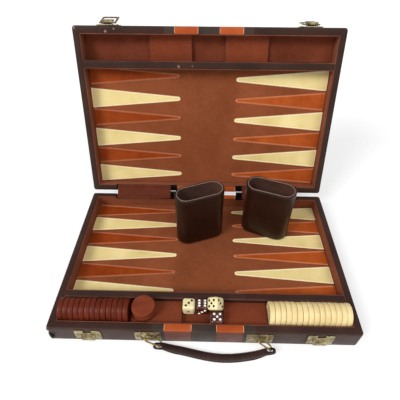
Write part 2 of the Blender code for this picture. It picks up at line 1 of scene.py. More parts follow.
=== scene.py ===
"""Looks of the backgammon case: vinyl-covered trays, napped lining with sewn points, brass
latches and handle fittings, padded hinge covers, leather dice cups, checkers and dice.

Each tray's pieces are drawn in half coordinates, whose origin is the hinge line: x across,
y negative towards the tray's front wall, z from the hinge line with the rim just below 0.
"""
import json
from math import atan2, cos, pi, radians, sin
from random import Random

import bmesh
import bpy
from mathutils import Matrix, Quaternion, Vector


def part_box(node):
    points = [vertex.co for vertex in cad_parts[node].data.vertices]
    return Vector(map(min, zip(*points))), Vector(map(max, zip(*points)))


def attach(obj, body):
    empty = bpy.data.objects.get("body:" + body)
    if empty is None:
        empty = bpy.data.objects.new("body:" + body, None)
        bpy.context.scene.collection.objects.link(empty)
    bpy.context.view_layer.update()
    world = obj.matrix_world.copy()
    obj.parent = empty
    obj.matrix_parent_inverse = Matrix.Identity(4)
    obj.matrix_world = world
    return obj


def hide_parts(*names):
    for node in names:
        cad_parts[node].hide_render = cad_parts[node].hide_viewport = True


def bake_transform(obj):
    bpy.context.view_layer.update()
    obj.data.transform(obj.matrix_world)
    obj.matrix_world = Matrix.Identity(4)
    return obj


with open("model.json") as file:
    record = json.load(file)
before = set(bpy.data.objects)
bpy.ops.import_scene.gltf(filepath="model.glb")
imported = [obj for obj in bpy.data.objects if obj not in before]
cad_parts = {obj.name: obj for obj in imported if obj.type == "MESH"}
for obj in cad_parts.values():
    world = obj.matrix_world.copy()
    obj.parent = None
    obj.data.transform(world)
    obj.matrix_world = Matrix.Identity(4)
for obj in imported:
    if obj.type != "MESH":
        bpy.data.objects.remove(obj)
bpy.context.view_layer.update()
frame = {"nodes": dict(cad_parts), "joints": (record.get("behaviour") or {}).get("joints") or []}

MM = 0.001
STRIPES = (15.3 * MM, 47.8 * MM, 62 * MM)   # edges of the grey, orange and grey bands
NOTCH = (49.5 * MM, 151 * MM)               # where a hinge leaf dips into the rear rim
NOTCH_DEPTH = 2.6 * MM
CORNER = 4 * MM
POINTS_PER_SIDE = 6
POINT_LENGTH = 137 * MM
POINT_GAP = 1.2 * MM                        # from a point's foot to the side wall
DIE = 16 * MM
ROW_COUNTS = {"dark": 13, "cream": 15}
UP = Vector((0, 0, 1))
FRONT = Vector((0, -1, 0))
RIGHT = Vector((1, 0, 0))
# SHADED_WALL_ORANGE is the orange band in a darker, duller copy for the outer walls and the underside:
# painted shade
PLAIN, GREY, ORANGE, LINING, SHADED_WALL_ORANGE = range(5)   # a tray's coverings

joints = {joint["name"]: joint for joint in frame["joints"]}
HINGE = Vector(joints["lid_close"]["pos_m"])
LID_ANGLE = radians(-joints["lid_close"]["range_deg"][0])
BASE = Matrix.Translation(HINGE)
LID = BASE @ Matrix.Rotation(pi - LID_ANGLE, 4, "X") @ Matrix.Rotation(pi, 4, "Z")
TRAYS = {"base": BASE, "lid": LID}


def points_of(node, matrix=Matrix()):
    """A CAD node's corners, seen from matrix's own coordinates."""
    inverse = matrix.inverted()
    return [inverse @ vertex.co for vertex in frame["nodes"][node].data.vertices]


def local_box(node, matrix):
    """A CAD node's lowest and highest corners in matrix's own coordinates."""
    points = points_of(node, matrix)
    low = Vector([min(p[i] for p in points) for i in range(3)])
    high = Vector([max(p[i] for p in points) for i in range(3)])
    return low, high


SHELL_LOW, SHELL_HIGH = local_box("base_shell", BASE)
FIELD_LOW, FIELD_HIGH = local_box("base_field", BASE)
RAIL_LOW, RAIL_HIGH = local_box("base_divider", BASE)
INNER_X = FIELD_HIGH.x + 0.3 * MM
INNER_REAR = FIELD_HIGH.y + 0.3 * MM
INNER_FRONT = -INNER_X + SHELL_HIGH.x + SHELL_LOW.y
RIM = SHELL_HIGH.z
POINT_TOP = FIELD_HIGH.z
BOARD_TOP = POINT_TOP - 0.4 * MM


# Materials ----------

def rgb(red, green, blue):
    """A linear colour from 0 to 255 display values."""
    values = [v / 255 for v in (red, green, blue)]
    return [v / 12.92 if v <= 0.04045 else ((v + 0.055) / 1.055) ** 2.4 for v in values]


class Surface:
    """A Principled material and short names for the nodes that feed it."""

    def __init__(self, name):
        self.material = bpy.data.materials.new(name)
        self.material.use_nodes = True
        self.tree = self.material.node_tree
        self.shader = self.tree.nodes["Principled BSDF"]
        self.coords = self.tree.nodes.new("ShaderNodeTexCoord").outputs["Object"]

    def feed(self, node, name, value):
        socket = node.inputs[name]
        if isinstance(value, bpy.types.NodeSocket):
            self.tree.links.new(value, socket)
        else:
            socket.default_value = value

    def feed_colour(self, node, name, colour):
        self.feed(node, name, colour if isinstance(colour, bpy.types.NodeSocket) else (*colour, 1))

    def node(self, kind, **inputs):
        node = self.tree.nodes.new("ShaderNode" + kind)
        for name, value in inputs.items():
            self.feed(node, name.replace("_", " "), value)
        return node

    def noise(self, scale, detail=3, roughness=0.55, stretch=(1, 1, 1)):
        mapping = self.node("Mapping", Vector=self.coords, Scale=stretch)
        node = self.node("TexNoise", Vector=mapping.outputs["Vector"], Scale=scale, Detail=detail,
                         Roughness=roughness)
        return node.outputs["Fac"]

    def cells(self, scale):
        node = self.node("TexVoronoi", Vector=self.coords, Scale=scale)
        node.feature = "SMOOTH_F1"
        return node.outputs["Distance"]

    def ramp(self, value, low, high, out_low=0.0, out_high=1.0):
        node = self.node("MapRange", Value=value, From_Min=low, From_Max=high, To_Min=out_low,
                         To_Max=out_high)
        return node.outputs["Result"]

    def distance(self, point):
        """How far the surface is from a point in the piece's own coordinates."""
        node = self.node("VectorMath")
        node.operation = "DISTANCE"
        self.feed(node, 0, self.coords)
        self.feed(node, 1, point)
        return node.outputs["Value"]

    def product(self, first, second):
        node = self.node("Math")
        node.operation = "MULTIPLY"
        self.feed(node, 0, first)
        self.feed(node, 1, second)
        return node.outputs[0]

    def mix(self, factor, first, second):
        node = self.node("Mix")
        node.data_type = "RGBA"
        self.feed(node, "Factor", factor)
        self.feed_colour(node, "A", first)
        self.feed_colour(node, "B", second)
        return node.outputs["Result"]

    def bump(self, height, distance, normal=None):
        node = self.node("Bump", Height=height, Distance=distance)
        if normal is not None:
            self.feed(node, "Normal", normal)
        return node.outputs["Normal"]

    def finish(self, colour, roughness, normal=None, **others):
        self.feed_colour(self.shader, "Base Color", colour)
        self.feed(self.shader, "Roughness", roughness)
        if normal is not None:
            self.feed(self.shader, "Normal", normal)
        for name, value in others.items():
            self.feed(self.shader, name.replace("_", " "), value)
        return self.material


def vinyl(name, dark, light, grain=900, depth=0.12 * MM, scuffs=0.35, worn=()):
    """Embossed leather-look vinyl: fine cells, slow colour drift, pale scuffs and rubbed-through spots.

    worn lists (point, radius) spots in the piece's own coordinates.
    """
    s = Surface(name)
    drift = s.ramp(s.noise(22, 4), 0.3, 0.7)
    colour = s.mix(drift, dark, light)
    scuff = s.ramp(s.noise(140, 5, 0.7, (1, 1.7, 1)), 0.7, 0.8, 0, scuffs)
    colour = s.mix(scuff, colour, rgb(150, 126, 108))
    ragged = s.noise(800, 4, 0.75, (0.6, 1.5, 1))
    for point, radius in worn:
        near = s.ramp(s.distance(point), radius, 0)
        spot = s.ramp(s.product(near, ragged), 0.3, 0.38, 0, 0.8)
        colour = s.mix(spot, colour, rgb(160, 128, 106))
    normal = s.bump(s.noise(260, 3), 0.1 * MM, s.bump(s.cells(grain), depth))
    roughness = s.ramp(s.noise(60), 0.3, 0.7, 0.36, 0.52)
    return s.finish(colour, roughness, normal, Specular_IOR_Level=0.22)


def napped(name, dark, light, sheen=0.05, nap=1500, rough=0.9):
    """Brushed, slightly mottled cloth-like lining with a fine nap."""
    flecks = 0.45
    s = Surface(name)
    cloud = s.ramp(s.noise(16, 5, 0.6), 0.32, 0.68)
    colour = s.mix(cloud, dark, light)
    fleck = s.ramp(s.noise(420, 4, 0.7), 0.52, 0.8, 0, flecks)
    colour = s.mix(fleck, colour, [min(1, v * 1.8) for v in light])
    pit = s.ramp(s.noise(300, 4, 0.7, (1, 1.4, 1)), 0.44, 0.28, 0, flecks)
    colour = s.mix(pit, colour, [v * 0.5 for v in dark])
    normal = s.bump(s.noise(nap, 4, 0.7), 0.22 * MM, s.bump(s.noise(120, 3), 0.25 * MM))
    return s.finish(colour, rough, normal, Sheen_Weight=sheen, Sheen_Roughness=0.5, Specular_IOR_Level=0.12)


def smooth_leather(name, dark, light, rough, coat=0.0, gloss=0.35):
    """Polished leather with faint creases and a soft sheen."""
    s = Surface(name)
    patch = s.ramp(s.noise(30, 5, 0.6), 0.3, 0.7)
    colour = s.mix(patch, dark, light)
    streak = s.ramp(s.noise(260, 5, 0.7, (1, 0.45, 1)), 0.35, 0.7, 0, 0.4)
    colour = s.mix(streak, colour, [v * 0.7 for v in dark])
    crease = s.noise(90, 5, 0.6, (1, 1, 0.35))
    normal = s.bump(crease, 0.3 * MM, s.bump(s.cells(1100), 0.1 * MM))
    roughness = s.ramp(crease, 0.3, 0.7, rough - 0.05, rough + 0.12)
    return s.finish(colour, roughness, normal, Coat_Weight=coat, Coat_Roughness=0.25,
                    Specular_IOR_Level=gloss)


def old_brass(name, dark, light, rough=0.3):
    """Lacquered brass dulled in patches, with fine polishing lines."""
    s = Surface(name)
    tarnish = s.ramp(s.noise(180, 5, 0.65), 0.35, 0.68)
    colour = s.mix(tarnish, dark, light)
    lines = s.noise(600, 2, 0.5, (1, 8, 1))
    normal = s.bump(lines, 0.04 * MM)
    roughness = s.ramp(s.noise(240, 3), 0.3, 0.7, rough - 0.08, rough + 0.16)
    return s.finish(colour, roughness, normal, Metallic=0.85)


def resin(name, dark, light, rough=0.3, coat=0.2, gloss=0.3):
    """Cast resin with cloudy swirls under a polished skin."""
    s = Surface(name)
    cloud = s.ramp(s.noise(60, 5, 0.6, (1, 1, 0.5)), 0.3, 0.7)
    colour = s.mix(cloud, dark, light)
    fine = s.noise(700, 3)
    normal = s.bump(fine, 0.03 * MM)
    roughness = s.ramp(fine, 0.3, 0.7, rough - 0.05, rough + 0.1)
    return s.finish(colour, roughness, normal, Coat_Weight=coat, Coat_Roughness=0.25,
                    Specular_IOR_Level=gloss)


def thread(name, dark, light):
    """Twisted sewing thread."""
    s = Surface(name)
    twist = s.ramp(s.noise(2500, 2), 0.35, 0.65)
    return s.finish(s.mix(twist, dark, light), 0.75, s.bump(twist, 0.05 * MM), Specular_IOR_Level=0.15)


LID_WEAR = (((SHELL_HIGH.x - 3 * MM, SHELL_LOW.y + 3 * MM, RIM), 5 * MM),
            ((144 * MM, SHELL_LOW.y + 7 * MM, RIM), 5 * MM),
            ((132 * MM, SHELL_LOW.y + 4 * MM, RIM), 3.5 * MM),
            ((43 * MM, RAIL_LOW.y + 6 * MM, RIM), 5 * MM),
            ((23 * MM, RAIL_LOW.y + 5 * MM, RIM), 3 * MM))
BASE_WEAR = (((-SHELL_HIGH.x, SHELL_LOW.y, RIM - 3 * MM), 9 * MM),
             ((SHELL_HIGH.x, SHELL_LOW.y, RIM - 5 * MM), 4 * MM))
MATS = {
    "vinyl_base": vinyl("vinyl_base", rgb(48, 28, 23), rgb(66, 42, 35), worn=BASE_WEAR),
    "vinyl_lid": vinyl("vinyl_lid", rgb(44, 25, 18), rgb(60, 37, 28), worn=LID_WEAR),
    "grey": vinyl("vinyl_grey", rgb(46, 36, 32), rgb(68, 54, 47)),
    "orange": vinyl("vinyl_orange", rgb(160, 66, 24), rgb(186, 88, 38), grain=1200, scuffs=0.15),
    # a darker, duller copy of the orange vinyl for the outer walls and the underside: painted shade
    "orange_wall_shade": vinyl("vinyl_faded_orange", rgb(88, 50, 40), rgb(112, 68, 56), scuffs=0.15),
    "lining": napped("lining", rgb(120, 62, 34), rgb(140, 76, 45)),
    "well": napped("well_lining", rgb(108, 48, 27), rgb(128, 61, 36)),
    # a darker copy of the well lining for the pockets and block sides: painted shade
    "pocket": napped("pocket_lining_painted_shade", rgb(92, 41, 24), rgb(124, 61, 38)),
    "cover": napped("hinge_cover_vinyl", rgb(80, 34, 18), rgb(102, 47, 27), rough=0.7),
    "curl": vinyl("vinyl_worn_curl", rgb(84, 62, 48), rgb(126, 100, 78), grain=700, depth=0.1 * MM,
                  scuffs=0),
    "black_flap": vinyl("vinyl_torn_flap", rgb(16, 10, 8), rgb(30, 20, 17), grain=500, depth=0.2 * MM,
                        scuffs=0.1),
    "welt": vinyl("welt", rgb(88, 44, 33), rgb(134, 80, 62), grain=1600, scuffs=0.5),
    "orange_point": smooth_leather("point_orange", rgb(154, 64, 16), rgb(190, 94, 38), 0.55, gloss=0.12),
    # a darker copy of the orange point leather for the points on the side by the left wall: painted shade
    # from that wall
    "orange_point_shaded": smooth_leather("point_orange_painted_shade", rgb(128, 46, 6), rgb(160, 72, 22), 0.55, gloss=0.1),
    "cream_point": vinyl("point_cream", rgb(220, 196, 128), rgb(238, 218, 156), grain=1500, depth=0.06 * MM,
                         scuffs=0.1),
    "cream_edge": vinyl("point_cream_edge", rgb(244, 220, 166), rgb(252, 232, 184), grain=1500, scuffs=0),
    "tan_thread": thread("thread_tan", rgb(222, 140, 96), rgb(255, 200, 160)),
    "cream_thread": thread("thread_cream", rgb(250, 232, 190), rgb(255, 250, 226)),
    "brown_thread": thread("thread_brown", rgb(56, 36, 30), rgb(92, 62, 50)),
    "grip_thread": thread("grip_thread", rgb(74, 54, 48), rgb(120, 96, 86)),
    "brass": old_brass("old_brass", rgb(104, 90, 58), rgb(196, 180, 136)),
    "wire": old_brass("ring_brass", rgb(128, 104, 54), rgb(214, 186, 124), rough=0.4),
    "black": old_brass("blackened_steel", rgb(16, 14, 14), rgb(34, 30, 30), rough=0.45),
    "grip": smooth_leather("grip_leather", rgb(40, 24, 20), rgb(62, 40, 35), 0.36, 0.1, gloss=0.25),
    "cup": smooth_leather("cup_leather", rgb(28, 10, 3), rgb(47, 21, 11), 0.36, 0.12, gloss=0.25),
    "suede": napped("cup_suede", rgb(52, 31, 23), rgb(80, 52, 41), sheen=0.2, nap=1100, rough=0.95),
    "cup_edge": thread("cup_edge", rgb(124, 94, 78), rgb(182, 150, 130)),
    "cup_seam": thread("cup_seam", rgb(66, 44, 34), rgb(104, 76, 60)),
    "dark_checker": resin("checker_dark", rgb(84, 28, 12), rgb(110, 42, 22), rough=0.42, coat=0.03,
                          gloss=0.15),
    "loose_checker": resin("checker_dark_worn", rgb(112, 46, 24), rgb(136, 64, 38), rough=0.5, coat=0,
                           gloss=0.2),
    "cream_checker": resin("checker_cream", rgb(226, 200, 138), rgb(244, 222, 166), coat=0.1),
    "brown_die": resin("die_brown", rgb(58, 18, 12), rgb(86, 32, 20), rough=0.15, coat=0.5, gloss=0.5),
    "cream_die": resin("die_cream", rgb(232, 216, 156), rgb(248, 236, 190), rough=0.2, coat=0.4, gloss=0.5),
    "pip_black": resin("pip_black", rgb(18, 16, 16), rgb(30, 28, 26), rough=0.4),
    "pip_white": resin("pip_white", rgb(240, 236, 226), rgb(252, 250, 244), rough=0.4),
}


# Mesh helpers ----------

def new_object(name, data):
    thing = bpy.data.objects.new(name, data)
    bpy.context.scene.collection.objects.link(thing)
    return thing


def add_piece(name, bm, materials, body, matrix=Matrix(), replaces=(), sharp=35):
    """Turns a bmesh into a piece in matrix's coordinates that rides on a body."""
    bmesh.ops.recalc_face_normals(bm, faces=bm.faces)
    mesh = bpy.data.meshes.new(name)
    bm.to_mesh(mesh)
    bm.free()
    mesh.shade_smooth()
    mesh.set_sharp_from_angle(angle=radians(sharp))
    for key in [materials] if isinstance(materials, str) else materials:
        mesh.materials.append(MATS[key])
    piece = new_object(name, mesh)
    piece.matrix_world = matrix
    if body:
        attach(piece, body)
    if replaces:
        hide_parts(*replaces)
    return piece


def bake(piece):
    """Applies the piece's modifiers."""
    graph = bpy.context.evaluated_depsgraph_get()
    mesh = bpy.data.meshes.new_from_object(piece.evaluated_get(graph))
    piece.modifiers.clear()
    piece.data = mesh


def round_edges(piece, width):
    bevel = piece.modifiers.new("Rounding", "BEVEL")
    bevel.width = width
    bevel.segments = 3
    bevel.limit_method = "ANGLE"
    bevel.angle_limit = radians(35)
    bevel.harden_normals = True
    bake(piece)


def smooth(piece, levels):
    modifier = piece.modifiers.new("Smooth", "SUBSURF")
    modifier.levels = levels
    modifier.render_levels = levels
    bake(piece)


def cut_out(piece, tool, sharp):
    """Cuts the tool piece out of the piece, and removes the tool."""
    cut = piece.modifiers.new("Cut", "BOOLEAN")
    cut.operation = "DIFFERENCE"
    cut.object = tool
    cut.solver = "EXACT"
    bake(piece)
    bpy.data.objects.remove(tool, do_unlink=True)
    piece.data.shade_smooth()
    piece.data.set_sharp_from_angle(angle=radians(sharp))


def loft(rings, closed=False):
    """A skin through rings of equally many points, capped at both ends unless closed."""
    bm = bmesh.new()
    loops = [[bm.verts.new(point) for point in ring] for ring in rings]
    pairs = list(zip(loops, loops[1:]))
    if closed:
        pairs.append((loops[-1], loops[0]))
    for lower, upper in pairs:
        for i in range(len(lower)):
            j = (i + 1) % len(lower)
            bm.faces.new((lower[i], lower[j], upper[j], upper[i]))
    if not closed:
        bm.faces.new(list(reversed(loops[0])))
        bm.faces.new(loops[-1])
    return bm


def append(target, source, material=None, matrix=None):
    """Adds source's faces to target, moved by matrix, in the numbered material."""
    if matrix is not None:
        source.transform(matrix)
    if material is not None:
        for face in source.faces:
            face.material_index = material
    mesh = bpy.data.meshes.new("part")
    source.to_mesh(mesh)
    source.free()
    target.from_mesh(mesh)
    bpy.data.meshes.remove(mesh)


def arc(centre, radius, start, end, steps):
    """Points on an arc, angles in degrees."""
    angles = [radians(start + (end - start) * i / steps) for i in range(steps + 1)]
    return [(centre[0] + radius * cos(a), centre[1] + radius * sin(a)) for a in angles]


def tube(path, radius, up=UP, closed=False, sides=6, flatten=1.0):
    """A round thread or bead along a path; up may be one vector or one for each point."""
    path = [Vector(p) for p in path]
    count = len(path)
    rings = []
    for i, point in enumerate(path):
        before = path[i - 1] if i or closed else point
        after = path[(i + 1) % count] if i < count - 1 or closed else point
        along = (after - before).normalized()
        lift = up[i] if isinstance(up, list) else up
        side = along.cross(lift).normalized()
        lift = side.cross(along)
        ring = []
        for k in range(sides):
            turn = 2 * pi * k / sides
            ring.append(point + side * radius * cos(turn) + lift * radius * flatten * sin(turn))
        rings.append(ring)
    return loft(rings, closed)


def turned(profile, sides):
    """A profile of (radius, height) points turned about z; ends on the axis are closed."""
    rings = [[(r * cos(2 * pi * k / sides), r * sin(2 * pi * k / sides), z) for k in range(sides)]
             for r, z in profile]
    return loft(rings)


def rounded_rect(x0, x1, y0, y1, radius, steps=4):
    corners = (((x1 - radius, y1 - radius), 0), ((x0 + radius, y1 - radius), 90),
               ((x0 + radius, y0 + radius), 180), ((x1 - radius, y0 + radius), 270))
    points = []
    for centre, start in corners:
        points += arc(centre, radius, start, start + 90, steps)
    return points


def refined(node, material, body, name, bevel=0.25 * MM, smooth_levels=0, swell=0):
    """A finer copy of a CAD node with rounded edges, standing in its place.

    swell pushes the surface out, to make up for what smoothing takes off a thin wire.
    """
    bm = bmesh.new()
    bm.from_mesh(frame["nodes"][node].data)
    bmesh.ops.remove_doubles(bm, verts=bm.verts, dist=0.002 * MM)
    bmesh.ops.dissolve_limit(bm, angle_limit=radians(0.5), verts=bm.verts, edges=bm.edges)
    for face in bm.faces:
        face.material_index = 0
    for vert in bm.verts:
        vert.co += vert.normal * swell
    piece = add_piece(name, bm, material, body, replaces=(node,))
    if smooth_levels:
        smooth(piece, smooth_levels)
    else:
        round_edges(piece, bevel)


def rivet(radius, height):
    """A domed head with a small flange, standing on z = 0."""
    profile = [(radius, 0), (radius, height * 0.3)]
    for turn in (0.15, 0.5, 0.9, 1.25, 1.5):
        profile.append((radius * 0.92 * cos(turn), height * (0.3 + 0.7 * sin(turn))))
    return turned(profile, 16)


# Camera and light ----------

def add_camera():
    """A view from just over the front edge, looking half down at the board and the lid."""
    data = bpy.data.cameras.new("camera")
    data.sensor_width = 36
    data.lens = 30.96
    data.shift_x = -0.0019
    data.shift_y = 0.0402
    camera = new_object("camera", data)
    camera.location = (-0.0003, -0.3121, 0.4167)
    aim = Vector((-0.014, 0.702, -0.712)).to_track_quat("-Z", "Y")
    camera.rotation_euler = (aim @ Quaternion((0, 0, 1), radians(0.2))).to_euler()
    bpy.context.scene.camera = camera


def add_sun(name, direction, softness, strength):
    """A broad soft light that shines from a direction."""
    data = bpy.data.lights.new(name, "SUN")
    data.angle = radians(softness)
    data.energy = strength
    light = new_object(name, data)
    light.rotation_euler = (-Vector(direction)).to_track_quat("-Z", "Y").to_euler()


def add_studio():
    """A white sweep of floor, an even white surround, and two soft lights from the front."""
    bm = bmesh.new()
    bmesh.ops.create_grid(bm, x_segments=2, y_segments=2, size=6)
    floor = add_piece("floor", bm, (), None, Matrix.Translation((0, 0, -0.1 * MM)))
    s = Surface("studio_floor")
    s.finish(s.mix(s.noise(3), (0.5, 0.5, 0.5), (0.53, 0.53, 0.53)), 0.8, Specular_IOR_Level=0.1,
             Emission_Color=(1, 1, 1, 1), Emission_Strength=0.55)
    floor.data.materials.append(s.material)
    world = bpy.data.worlds.new("studio")
    world.use_nodes = True
    background = world.node_tree.nodes["Background"].inputs
    background["Color"].default_value = (1, 1, 1, 1)
    background["Strength"].default_value = 0.42
    bpy.context.scene.world = world
    bpy.context.scene.view_settings.view_transform = "Standard"
    add_sun("key", (-0.65, -0.52, 0.66), 25, 2.0)
    add_sun("fill", (0.35, -0.45, 0.8), 40, 0.85)


# Trays ----------

def tray_outline(inset, radius):
    """A tray's outline, inset from its outer faces: (x, y, side, in notch), side F, R or none."""
    stops = sorted([-x for x in STRIPES] + list(STRIPES))
    rear = [(x, False) for x in stops]
    for sign in (-1, 1):
        for edge, turn in ((NOTCH[0], 1), (NOTCH[1], -1)):
            rear.append((sign * (edge - turn * 0.2 * MM), False))
            rear.append((sign * (edge + turn * 0.2 * MM), True))
    inside = [(sign * x, True) for sign in (-1, 1) for x in STRIPES if NOTCH[0] < x < NOTCH[1]]
    rear = [entry for entry in rear if (entry[0], True) not in inside] + inside
    x1, y0, y1 = SHELL_HIGH.x - inset, SHELL_LOW.y + inset, SHELL_HIGH.y - inset

    def corner(x, y, start):
        return [(*p, "", False) for p in arc((x, y), radius, start, start + 90, 6)]

    points = [(x, y0, "F", False) for x in stops]
    points += corner(x1 - radius, y0 + radius, 270)
    points += corner(x1 - radius, y1 - radius, 0)
    points += [(x, y1, "R", low) for x, low in sorted(rear, reverse=True)]
    points += corner(-x1 + radius, y1 - radius, 90)
    points += corner(-x1 + radius, y0 + radius, 180)
    return points


def band_of(x):
    """The covering of the front and rear walls at x."""
    x = abs(x)
    if STRIPES[0] < x < STRIPES[1]:
        return ORANGE
    return GREY if x < STRIPES[2] else PLAIN


def make_shell(prefix, matrix):
    """The covered box: bands of colour across the front and rear, lining down the inside."""
    wall = SHELL_HIGH.x - INNER_X
    bottom = SHELL_LOW.z
    outside = [(1.6 * MM, bottom), (0.7 * MM, bottom + 0.25 * MM), (0.15 * MM, bottom + 0.9 * MM),
               (0, bottom + 1.8 * MM), (0, RIM - 1.6 * MM), (0.2 * MM, RIM - 0.8 * MM),
               (0.7 * MM, RIM - 0.25 * MM)]
    top = [(1.6 * MM, RIM), (wall - 1.2 * MM, RIM), (wall - 0.5 * MM, RIM - 0.2 * MM)]
    inside = [(wall - 0.1 * MM, RIM - 0.7 * MM), (wall, RIM - 1.4 * MM), (wall, BOARD_TOP - 4 * MM)]
    stations = outside + top + inside
    bm = bmesh.new()
    loops = []
    for inset, z in stations:
        outline = tray_outline(inset, max(0.6 * MM, CORNER - inset))
        dipped = min(z, RIM - NOTCH_DEPTH)
        loops.append([bm.verts.new((x, y, dipped if low else z)) for x, y, _, low in outline])
    outline = tray_outline(0, CORNER)
    count = len(outline)
    for row in range(len(stations) - 1):
        for i in range(count):
            j = (i + 1) % count
            face = bm.faces.new((loops[row][i], loops[row][j], loops[row + 1][j], loops[row + 1][i]))
            same_side = outline[i][2] and outline[i][2] == outline[j][2]
            band = band_of((outline[i][0] + outline[j][0]) / 2) if same_side else PLAIN
            if row >= len(outside) + len(top) - 1:
                band = LINING
            # orange down the outer front and rear walls takes the darker, duller copy: painted shade
            elif band == ORANGE and row < len(outside) - 2:
                band = SHADED_WALL_ORANGE
            face.material_index = band
    close_underside(bm, loops[0], outline)
    bm.faces.new(loops[-1]).material_index = LINING
    finishes = (f"vinyl_{prefix}", "grey", "orange", "lining", "orange_wall_shade")
    add_piece(f"{prefix}_case", bm, finishes, prefix, matrix, (f"{prefix}_shell",))


def close_underside(bm, loop, outline):
    """The flat outer face, split where the bands cross it from front to rear."""
    front = [i for i, p in enumerate(outline) if p[2] == "F"]
    rear = {round(p[0], 6): i for i, p in enumerate(outline) if p[2] == "R"}
    for a, b in zip(front, front[1:]):
        back_b, back_a = rear[round(outline[b][0], 6)], rear[round(outline[a][0], 6)]
        face = bm.faces.new([loop[a], loop[b]] + [loop[i] for i in range(back_b, back_a + 1)])
        band = band_of((outline[a][0] + outline[b][0]) / 2)
        # orange under the box takes the darker, duller copy: painted shade
        face.material_index = SHADED_WALL_ORANGE if band == ORANGE else band
    last, first = front[-1], front[0]
    bm.faces.new([loop[i] for i in range(last, rear[round(outline[last][0], 6)] + 1)])
    start = rear[round(outline[first][0], 6)]
    bm.faces.new([loop[i % len(outline)] for i in range(start, len(outline) + first + 1)])


def notch_dip(x):
    """How far the rear rim drops at x."""
    return NOTCH_DEPTH if NOTCH[0] < abs(x) < NOTCH[1] else 0


def make_welts(prefix, matrix):
    """Piping round the field and the wells, dipping into the rear rim's notches."""
    bm = bmesh.new()
    gap, clear, z = 0.35 * MM, 0.8 * MM, RIM - 0.75 * MM
    right = [NOTCH[1] + clear, NOTCH[1] - clear, NOTCH[0] + clear, NOTCH[0] - clear]
    for y0, y1 in ((RAIL_HIGH.y, INNER_REAR), (INNER_FRONT, RAIL_LOW.y)):
        outline = rounded_rect(-INNER_X + gap, INNER_X - gap, y0 + gap, y1 - gap, 1.2 * MM)
        path = [(x, y, z) for x, y in outline]
        if y1 == INNER_REAR:
            first_corner = 5
            xs = right + [-x for x in reversed(right)]
            path[first_corner:first_corner] = [(x, y1 - gap, z - notch_dip(x)) for x in xs]
        append(bm, tube(path, 0.5 * MM, closed=True, sides=8))
    add_piece(f"{prefix}_welts", bm, "welt", prefix, matrix)


def make_seams(prefix, matrix):
    """Band seams over the rims and down the front wall, and mitres at the corners."""
    bm = bmesh.new()
    front_in, front_out = INNER_FRONT - 1.2 * MM, SHELL_LOW.y
    for sign in (-1, 1):
        for edge in STRIPES:
            x, z = sign * edge, RIM - notch_dip(edge)
            colour = 0 if edge == STRIPES[2] else 1
            rim = [(x, front_in, RIM), (x, front_out + 1.6 * MM, RIM),
                   (x, front_out + 0.25 * MM, RIM - 0.7 * MM)]
            wall = [(x, front_out, RIM - 1.8 * MM), (x, front_out, SHELL_LOW.z + 1.8 * MM)]
            rear = [(x, INNER_REAR + 1.2 * MM, z), (x, SHELL_HIGH.y - 1.6 * MM, z)]
            append(bm, tube(rim, 0.3 * MM, [UP, UP, UP + FRONT], flatten=0.5), colour)
            append(bm, tube(wall, 0.25 * MM, FRONT, flatten=0.4), 0)
            append(bm, tube(rear, 0.3 * MM, flatten=0.5), colour)
        for y_in, y_out, turn in ((INNER_FRONT, SHELL_LOW.y, 1), (INNER_REAR, SHELL_HIGH.y, -1)):
            mitre = [(sign * (INNER_X + 1 * MM), y_in - turn * 1 * MM, RIM),
                     (sign * (SHELL_HIGH.x - 2 * MM), y_out + turn * 2 * MM, RIM)]
            append(bm, tube(mitre, 0.3 * MM, flatten=0.4), 0)
    add_piece(f"{prefix}_seams", bm, ("brown_thread", "tan_thread"), prefix, matrix)


def make_worn_corner():
    """The base's front left corner: the covering rubbed to a pale curl, with a torn dark flap below."""
    corner = Matrix.Translation((-SHELL_HIGH.x, SHELL_LOW.y, RIM))
    askew = Matrix.Rotation(radians(-45), 4, "Z")
    curl = ((1.8, 1.8, -4.5), (2.4, 2, 4))
    flap = ((1.6, 1.2, -19.5), (4.6, 2.4, 7.6))
    lumps = bmesh.new()
    for material, (place, size) in enumerate((curl, flap)):
        ball = bmesh.new()
        bmesh.ops.create_uvsphere(ball, u_segments=20, v_segments=12, radius=MM)
        shape = corner @ Matrix.Translation(Vector(place) * MM) @ askew @ Matrix.Diagonal((*size, 1))
        append(lumps, ball, material, shape)
    add_piece("base_worn_corner", lumps, ("curl", "black_flap"), "base", TRAYS["base"], sharp=60)


def make_rail(prefix, matrix):
    """The rail between field and wells, softly crowned, with two creased lines along it."""
    low, high = RAIL_LOW, RAIL_HIGH
    r = 1.4 * MM
    profile = [(low.y, low.z), (high.y, low.z)]
    profile += arc((high.y - r, high.z - r), r, 0, 90, 4)
    middle = (low.y + high.y) / 2
    profile += [(middle + 1.6 * MM, high.z), (middle + 1.2 * MM, high.z - 0.12 * MM),
                (middle + 0.8 * MM, high.z), (middle, high.z + 0.05 * MM)]
    profile += arc((low.y + r, high.z - r), r, 90, 180, 4)
    steps = 24
    stops = [low.x + (high.x - low.x) * i / steps for i in range(steps + 1)]
    rings = [[(x, y, z) for y, z in profile] for x in stops]
    add_piece(f"{prefix}_rail", loft(rings), f"vinyl_{prefix}", prefix, matrix, (f"{prefix}_divider",))


def insert_steps(node, matrix):
    """The insert's level stretches, from left to right, as (x0, x1, z)."""
    levels = {}
    floor = local_box(node, matrix)[0].z
    for point in points_of(node, matrix):
        if point.z > floor + 0.1 * MM:
            levels.setdefault(round(point.x, 5), set()).add(round(point.z, 5))
    xs = sorted(levels)
    level = min(levels[xs[0]])
    stretches = []
    for x0, x1 in zip(xs, xs[1:]):
        stretches.append((x0, x1, level))
        level = next((z for z in levels[x1] if z != level), level)
    return stretches


